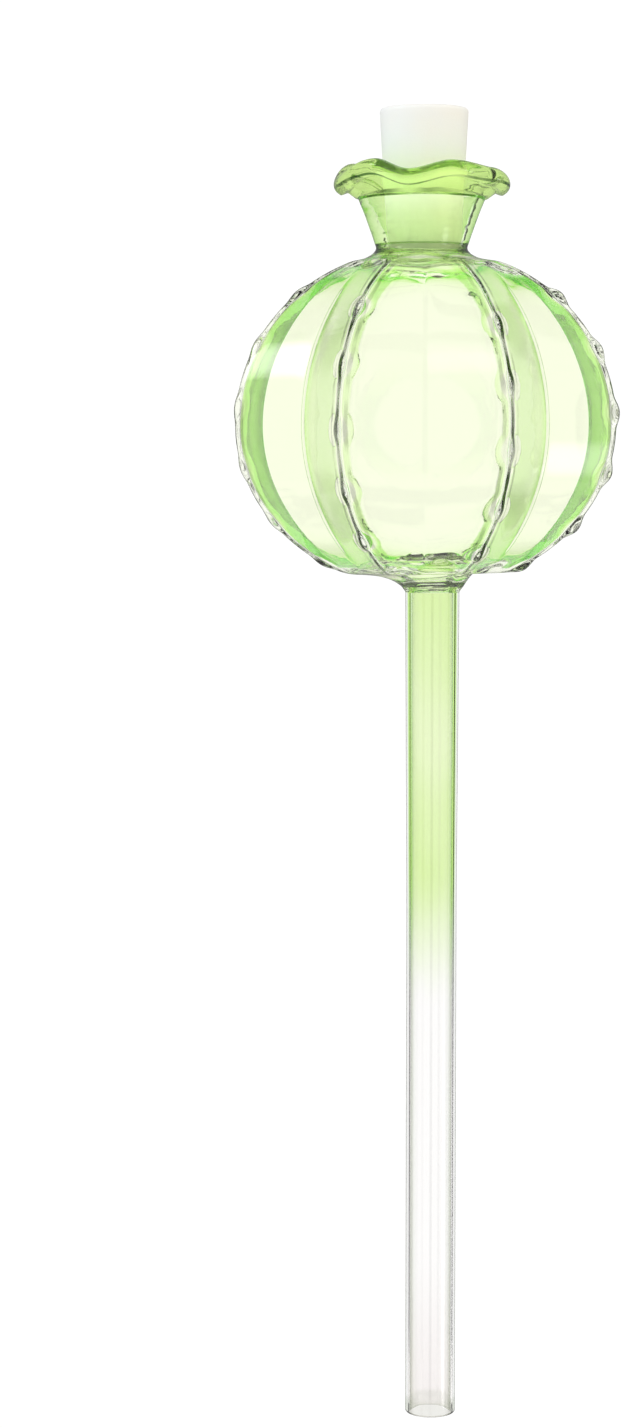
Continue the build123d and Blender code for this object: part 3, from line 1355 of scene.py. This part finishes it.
@dataclass
class FunnelNeck:
    """The funnel neck, its melted ring on the bulb, and the rolled lip with five waves.

    The lip's levels are pairs of an angle in degrees and a lift in millimetres. The elbow
    of the lip's middle line is given in shares of the bead's way out and of its rise.
    """

    look: Look
    ring_look: Look
    lip_look: Look
    axis_x: float = -2.2 * MM
    seat_x: float = -1.8 * MM
    ring_foot_radius: float = 9.31 * MM
    root_radius: float = 8.81 * MM
    top_radius: float = 12.1 * MM
    top_bore: float = 10.6 * MM
    seat_radius: float = 6.91 * MM
    seat_length: float = 2.7 * MM
    seat_taper: float = 0.0568
    ring_bulge: float = -0.4 * MM
    hollowing: float = 0.12 * MM
    flare_power: float = 1.1
    lip_overhang: float = 4.9 * MM
    front_bead: float = 1.5 * MM
    side_bead: float = 1.9 * MM
    bead_rise: float = 2.3 * MM
    elbow_out: float = 0.38
    front_elbow: float = 1.5
    side_elbow: float = 0.35
    side_turn: float = radians(95)
    bead_inset: float = 0.35 * MM
    square_share: float = 0.25
    lifted_share: float = 0.85
    fold: Span = (0.66, 0.90)
    line_place: float = 1.3 * MM
    lip_levels: tuple[Span, ...] = (
        (-160, 1.0),
        (-118, 2.9),
        (-83, 0.0),
        (-36, 2.4),
        (-9.5, 0.35),
        (23.6, 2.0),
        (60, 1.0),
        (95, 0.1),
        (128, 1.4),
        (162, 0.2),
    )
    inner_ripple: float = 0.06 * MM
    outer_ripple: float = 0.024 * MM
    lip_ripple: float = 0.12 * MM
    ripple_start: float = 3
    neck_wave: float = 5 * MM
    lip_wave: float = 8 * MM
    neck_seed: int = 8
    lip_seed: int = 21
    columns: int = 240
    ring_rows: int = 14
    neck_rows: int = 60
    lip_rows: int = 56
    cap_rows: int = 18

    def build(self) -> None:
        """Make the ring, the neck and the lip."""
        turn = even_turns(self.columns)
        ring, neck, lip = (NodeBox.of(n) for n in ("neck_weld", "neck_collar", "mouth_lip"))
        sections = (
            ("neck_ring", "neck_weld", self.ring(ring, turn), self.ring_look),
            ("neck", "neck_collar", self.funnel(neck, ring, turn), self.look),
            ("lip", "mouth_lip", self.lip(lip, turn), self.lip_look),
        )
        for name, node, wall, look in sections:
            glass_section(name, node, Slot.GREEN_GLASS, wall, look)

    def ring(self, box: NodeBox, turn: Grid) -> tuple[Grid, Grid]:
        """Wall of the melted ring, round the foot of the stopper's seat.

        Args:
            box: Box of the ring's node.
            turn: Angles of the columns.

        Returns:
            Grids of points up the outside and down the inside.
        """
        share = np.linspace(0, 1, self.ring_rows)
        radius = self.ring_foot_radius + (self.root_radius - self.ring_foot_radius) * share
        radius = radius + self.ring_bulge * np.sin(pi * share)
        height = box.heights(share)
        seat = self.seat_radius + self.seat_taper * (height - box.foot)
        outer = turned(radius[:, None], turn, height[:, None], self.axis_x)
        return outer, turned(seat[::-1, None], turn, height[::-1, None], self.seat_x)

    def funnel(self, box: NodeBox, ring: NodeBox, turn: Grid) -> tuple[Grid, Grid]:
        """Wall of the neck: a slightly hollow cone outside, the seat and a flare inside.

        The inside follows the seat's taper, and from its top opens with a power of the
        height to the lip's bore. Faint level ripples run round it, and die out at the ends.

        Args:
            box: Box of the neck's node.
            ring: Box of the ring below it.
            turn: Angles of the columns.

        Returns:
            Grids of points up the outside and down the inside.
        """
        share = np.linspace(0, 1, self.neck_rows)
        radius = self.root_radius + (self.top_radius - self.root_radius) * share
        radius = radius - self.hollowing * np.sin(pi * share)
        height = box.heights(share)
        seat_top = ring.foot + self.seat_length
        seat = self.seat_radius + self.seat_taper * (height - ring.foot)
        opening = np.clip((height - seat_top) / (box.top - seat_top), 0, 1)
        seat_end = self.seat_radius + self.seat_taper * self.seat_length
        flared = seat_end + (self.top_bore - seat_end) * opening**self.flare_power
        bore = np.where(height < seat_top, seat, flared)
        bore_x = self.seat_x + (self.axis_x - self.seat_x) * opening
        ripples = unevenness(turn[None, :], height[:, None], self.neck_wave, self.neck_seed)
        ripples = ripples * np.sqrt(np.sin(pi * share))[:, None]
        outer = turned(radius[:, None] + self.outer_ripple * ripples, turn, height[:, None], self.axis_x)
        rough = self.inner_ripple * smooth_step(opening * self.ripple_start)[:, None] * ripples
        inner = turned(bore[:, None] + rough, turn, height[:, None], bore_x[:, None])
        return outer, inner[::-1]

    def lip_level(self, turn: Grid) -> Grid:
        """Lift of the bead round the neck, over its lowest level.

        Between two neighbouring places it goes over smoothly, level at both, so that each
        place is a dip or a lobe.

        Args:
            turn: Angles of the columns.

        Returns:
            The lift of each column.
        """
        places, levels = np.array(self.lip_levels).T
        places, levels = np.append(places, places[0] + 360), np.append(levels, levels[0]) * MM
        angle = (np.degrees(turn) - places[0]) % 360 + places[0]
        index = np.clip(np.searchsorted(places, angle, side="right") - 1, 0, len(levels) - 2)
        share = (angle - places[index]) / (places[index + 1] - places[index])
        return levels[index] + (levels[index + 1] - levels[index]) * smooth_step(share)

    def lip(self, box: NodeBox, turn: Grid) -> tuple[Grid, Grid, Grid]:
        """Rolled lip: a flange that thickens into a round bead, lifted into lobes and dips.

        Its middle line bends from the neck's wall to the bead's centre as a quadratic
        curve. The wall lies half a thickness to each side of it, and the bead closes it
        with a half circle. At the front the bead is slimmer and hangs over the flange, as
        the middle line rises before it turns outwards. A lobe lifts the flange smoothly.

        Args:
            box: Box of the lip's node.
            turn: Angles of the columns.

        Returns:
            Grids of points up the outside and down the inside, and their map coordinates:
            the distance from the crease under the bead in millimetres, and 1.
        """
        aside = smooth_step(np.abs(wrapped(turn)) / self.side_turn)
        start_radius = (self.top_radius + self.top_bore) / 2
        bead_radius = self.front_bead + (self.side_bead - self.front_bead) * aside
        out = self.top_radius + self.lip_overhang - self.side_bead - self.bead_inset - start_radius
        elbow_out = self.elbow_out * out
        elbow_up = (self.front_elbow + (self.side_elbow - self.front_elbow) * aside) * self.bead_rise
        share = np.linspace(0, 1, self.lip_rows)[:, None]
        radius = start_radius + 2 * share * (1 - share) * elbow_out + share**2 * out + 0 * aside
        height = box.foot + 2 * share * (1 - share) * elbow_up + share**2 * self.bead_rise
        outward = (1 - share) * elbow_out + share * (out - elbow_out) + 0 * aside
        upward = (1 - share) * elbow_up + share * (self.bead_rise - elbow_up)
        length = np.hypot(outward, upward)
        outward, upward = outward / length, upward / length
        squared = smooth_step(share / self.square_share)
        normal_out, normal_up = 1 + (upward - 1) * squared, -outward * squared
        fold_start, fold_end = self.fold
        half = (self.top_radius - self.top_bore) / 2
        half = half + (bead_radius - half) * smooth_step((share - fold_start) / (fold_end - fold_start))
        uneven = unevenness(turn[None, :], height[:, :1], self.lip_wave, self.lip_seed)
        swell = self.lip_ripple * uneven * smooth_step(share * self.ripple_start)
        lifted = height + self.lip_level(turn) * smooth_step(share / self.lifted_share)
        across, over = normal_out * half, normal_up * half
        sides = [
            turned(radius + side * across + swell, turn, lifted + side * over, self.axis_x)
            for side in (1, -1)
        ]
        swing = np.linspace(0, pi, self.cap_rows)[1:-1, None]
        reach = normal_out[-1] * np.cos(swing) + outward[-1] * np.sin(swing)
        climb = normal_up[-1] * np.cos(swing) + upward[-1] * np.sin(swing)
        cap_radius = radius[-1] + bead_radius * reach + swell[-1]
        cap = turned(cap_radius, turn, lifted[-1] + bead_radius * climb, self.axis_x)
        outer, inner = np.concatenate((sides[0], cap)), sides[1][::-1]
        outer[0, :, 2] -= OVERLAP
        inner[-1, :, 2] -= OVERLAP
        # Map coordinates that place the lip's painted shade lines.
        away = (share - 1) * np.hypot(out, self.bead_rise) - self.line_place + 0 * aside
        within = np.full(inner.shape[:2], self.lip_overhang)
        away = np.concatenate((away, away[-1] + bead_radius * swing, within))
        return outer, inner, np.stack((away / MM, np.ones_like(away)), axis=-1)


@dataclass
class Stopper:
    """The tapered silicone stopper."""

    look: Look
    top_radius: float = 8.4 * MM
    foot_radius: float = 6.85 * MM
    top_round: float = 0.8 * MM
    foot_round: float = 0.5 * MM
    end_shares: Span = (0.1, 0.92)
    columns: int = 160
    end_rows: int = 8
    rim_rows: int = 9
    side_rows: int = 30

    def build(self) -> None:
        """Make the stopper: a cone with rounded rims and flat ends."""
        box = NodeBox.of("stopper")
        quarter = np.linspace(0, pi / 2, self.rim_rows)
        side = np.linspace(box.foot + self.foot_round, box.top - self.top_round, self.side_rows)
        taper = (self.top_radius - self.foot_radius) / (box.top - box.foot)
        cone = self.foot_radius + taper * (side - box.foot)
        foot_radius = cone[0] - self.foot_round * (1 - np.sin(quarter))
        foot_height = box.foot + self.foot_round * (1 - np.cos(quarter))
        top_radius = cone[-1] - self.top_round * (1 - np.cos(quarter))
        top_height = box.top - self.top_round * (1 - np.sin(quarter))
        flat, level = np.linspace(*self.end_shares, self.end_rows), np.ones(self.end_rows)
        radii = (foot_radius[0] * flat, foot_radius, cone[1:-1], top_radius, top_radius[-1] * flat[::-1])
        heights = (box.foot * level, foot_height, side[1:-1], top_height, box.top * level)
        radius, height = np.concatenate(radii)[:, None], np.concatenate(heights)[:, None]
        made = Shell.solid("stopper_plug", turned(radius, even_turns(self.columns), height, box.middle_x))
        stand_in(made, "stopper", Body.PLUG, Slot.SILICONE, self.look)


@dataclass(frozen=True)
class Flag:
    """Upright black flag between two softboxes: its azimuth from +Y towards +X and its foot.

    Angles are in degrees, and the foot is an elevation.
    """

    azimuth: float
    half_width: float = 7.0
    foot: float = -60.0


@dataclass(frozen=True)
class Window:
    """Bright patch with a soft rim, seen only as a reflection: its direction and its size.

    Its radius and its rim are angles in degrees.
    """

    way: tuple[float, float, float]
    radius: float
    rim: float
    strength: float


@dataclass
class Studio:
    """White studio: a bright surround with black flags, a floor and the camera.

    The surround shines through the glass. The flags and the dark ring above draw the
    outlines, ribs and joints, as glass bends only steep rays that far aside. The angles of
    the ring and of the camera are in degrees.
    """

    flags: tuple[Flag, ...] = (Flag(40, 5.5), Flag(90, 3), Flag(180), Flag(-135), Flag(-45, 4, -17))
    windows: tuple[Window, ...] = (
        Window((-0.78, -0.31, 0.53), 1, 10, 8),
        Window((0.81, -0.45, -0.33), 0, 12, 4),
        Window((0.83, 0.50, -0.24), 0, 6, 3),
        Window((-0.41, -0.66, 0.63), 0, 12, 1.6),
    )
    flag_edge: float = 4.0
    ring_foot: float = 42.0
    ring_top: float = 54.0
    flag_level: float = 0.03
    box_level: float = 1.05
    mirror_level: float = 0.3
    enclosed_gain: float = 1.1
    fill_level: float = 1.13
    fill_turn: float = 0.8
    warm_fill: Colour = (1.04, 0.985, 0.88)
    cool_fill: Colour = (1.03, 1.075, 1.14)
    floor_drop: float = 220 * MM
    floor_size: float = 1.2
    floor_colour: Colour = (0.5, 0.5, 0.5)
    floor_glow: float = 0.54
    floor_glow_through: float = 0.02
    camera_distance: float = 600 * MM
    camera_height: float = 183.8 * MM
    camera_pitch: float = -4.58
    camera_yaw: float = 2.096
    lens: float = 79.46
    bounces: int = 40
    glossy_bounces: int = 24

    def build(self) -> None:
        """Make the world, the floor and the camera."""
        scene = bpy.context.scene
        scene.view_settings.view_transform = "Standard"
        for bounces in ("max_bounces", "transmission_bounces", "transparent_max_bounces"):
            setattr(scene.cycles, bounces, self.bounces)
        scene.cycles.glossy_bounces = self.glossy_bounces
        self.surround()
        self.floor()
        self.camera()

    def surround(self) -> None:
        """World: white to the eye, even to soft surfaces, and softboxes to the glass."""
        world = bpy.data.worlds.new("studio")
        bpy.context.scene.world = world
        world.use_nodes = True
        kit = NodeKit(world.node_tree)
        world.node_tree.nodes.clear()
        place = kit.add("ShaderNodeTexCoord").outputs["Generated"]
        path = kit.add("ShaderNodeLightPath").outputs
        mirrored = kit.math("ADD", self.window_level(kit, place), self.mirror_level)
        glass = kit.mix(self.box_brightness(kit, place), mirrored, path["Is Reflection Ray"], "FLOAT")
        soft = kit.math("MINIMUM", path["Diffuse Depth"], 1)
        enclosed = kit.math("MINIMUM", path["Transmission Depth"], 1)
        fill = kit.math("MULTIPLY_ADD", enclosed, self.enclosed_gain, self.fill_level)
        level = kit.mix(glass, fill, soft, "FLOAT")
        seen = kit.math("MAXIMUM", level, path["Is Camera Ray"])
        feeds = {"Strength": seen, "Color": self.fill_colour(kit, place, soft)}
        light = kit.add("ShaderNodeBackground", feeds)
        kit.add("ShaderNodeOutputWorld", {"Surface": light.outputs[0]})

    def box_brightness(self, kit: NodeKit, place: Socket) -> Socket:
        """Brightness of the surround in a direction: the softboxes, less what the flags hide.

        Args:
            kit: Kit of the world's tree.
            place: Socket with the direction.

        Returns:
            The socket with the brightness.
        """
        east, north, rise = kit.parts(place)
        azimuth = kit.math("ARCTAN2", east, north)
        edge = self.flag_edge
        ring = kit.ramp(rise, sin(radians(self.ring_foot)), sin(radians(self.ring_foot + edge)))
        over = kit.ramp(rise, sin(radians(self.ring_top)), sin(radians(self.ring_top + edge)))
        dark = kit.math("SUBTRACT", ring, over)
        for flag in self.flags:
            turned_by = kit.math("SUBTRACT", azimuth, radians(flag.azimuth) - pi)
            aside = kit.math("SUBTRACT", kit.math("FLOORED_MODULO", turned_by, 2 * pi), pi)
            near = radians(flag.half_width - edge / 2), radians(flag.half_width + edge / 2)
            hidden = kit.math("SUBTRACT", 1, kit.ramp(kit.math("ABSOLUTE", aside), *near))
            foot = kit.ramp(rise, sin(radians(flag.foot - edge)), sin(radians(flag.foot)))
            dark = kit.math("MAXIMUM", dark, kit.math("MULTIPLY", hidden, foot))
        return kit.math("MULTIPLY_ADD", dark, self.flag_level - self.box_level, self.box_level)

    def window_level(self, kit: NodeKit, place: Socket) -> Socket:
        """Brightness of the windows in a direction, from its angle to each window's middle.

        Args:
            kit: Kit of the world's tree.
            place: Socket with the direction.

        Returns:
            The socket with the brightness.
        """
        total = None
        for window in self.windows:
            feeds = {0: place, 1: Vector(window.way).normalized()}
            dot = kit.add("ShaderNodeVectorMath", feeds, operation="DOT_PRODUCT").outputs["Value"]
            rim, full = cos(radians(window.radius + window.rim)), cos(radians(window.radius))
            glow = kit.math("MULTIPLY", kit.ramp(dot, rim, full), window.strength)
            total = glow if total is None else kit.math("ADD", total, glow)
        return total

    def fill_colour(self, kit: NodeKit, place: Socket, soft: Socket) -> Socket:
        """Colour of the light: white, but for soft surfaces cool on the left and warm on the right.

        Args:
            kit: Kit of the world's tree.
            place: Socket with the direction.
            soft: Socket that is 1 for light that reaches a soft surface.

        Returns:
            The socket with the colour.
        """
        share = kit.ramp(kit.parts(place)[0], -self.fill_turn, self.fill_turn)
        return kit.mix(WHITE, kit.mix(self.cool_fill, self.warm_fill, share), soft)

    def floor(self) -> None:
        """Pale floor below the stem, which glows faintly and keeps the object's shadow."""
        low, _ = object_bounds()
        half, level = self.floor_size / 2, low.z - self.floor_drop
        corners = [(-half, -half, level), (half, -half, level), (half, half, level), (-half, half, level)]
        mesh = bpy.data.meshes.new("floor")
        mesh.from_pydata(corners, [], [(0, 1, 2, 3)])
        made = bpy.data.objects.new("floor", mesh)
        bpy.context.scene.collection.objects.link(made)
        look, kit = new_look("pale_floor")
        path = kit.add("ShaderNodeLightPath").outputs
        through = kit.math("MULTIPLY", path["Is Transmission Ray"], self.floor_glow_through)
        direct = kit.math("MULTIPLY", path["Is Camera Ray"], self.floor_glow)
        feeds = {
            "Base Color": self.floor_colour,
            "Roughness": 1,
            "Specular IOR Level": 0,
            "Emission Color": WHITE,
            "Emission Strength": kit.math("ADD", direct, through),
        }
        kit.fill(look.node_tree.nodes["Principled BSDF"], feeds)
        mesh.materials.append(look)
        made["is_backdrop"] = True

    def camera(self) -> None:
        """Camera at the photograph's angle: a little below the bulb's middle, turned aside."""
        data = bpy.data.cameras.new("camera")
        data.lens = self.lens
        made = bpy.data.objects.new("camera", data)
        made.location = (0, -self.camera_distance, self.camera_height)
        made.rotation_euler = Euler((radians(90 + self.camera_pitch), 0, radians(self.camera_yaw)))
        bpy.context.scene.collection.objects.link(made)
        bpy.context.scene.camera = made


def main() -> None:
    """Build the studio and each section of the globe, from the stem up."""
    logging.basicConfig(level=logging.INFO, format="%(name)s: %(message)s")
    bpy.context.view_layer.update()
    lining = LINING.material()
    Studio().build()
    Stem(STEM_CASING.material(), STEM_LINING.material(), lining).build()
    RibbedBulb(RIBBED_CASING.material(), lining).build()
    FunnelNeck(NECK_GLASS.material(), RING_GLASS.material(), LIP_GLASS.material()).build()
    Stopper(SILICONE.material()).build()


if __name__ == "__main__":
    main()
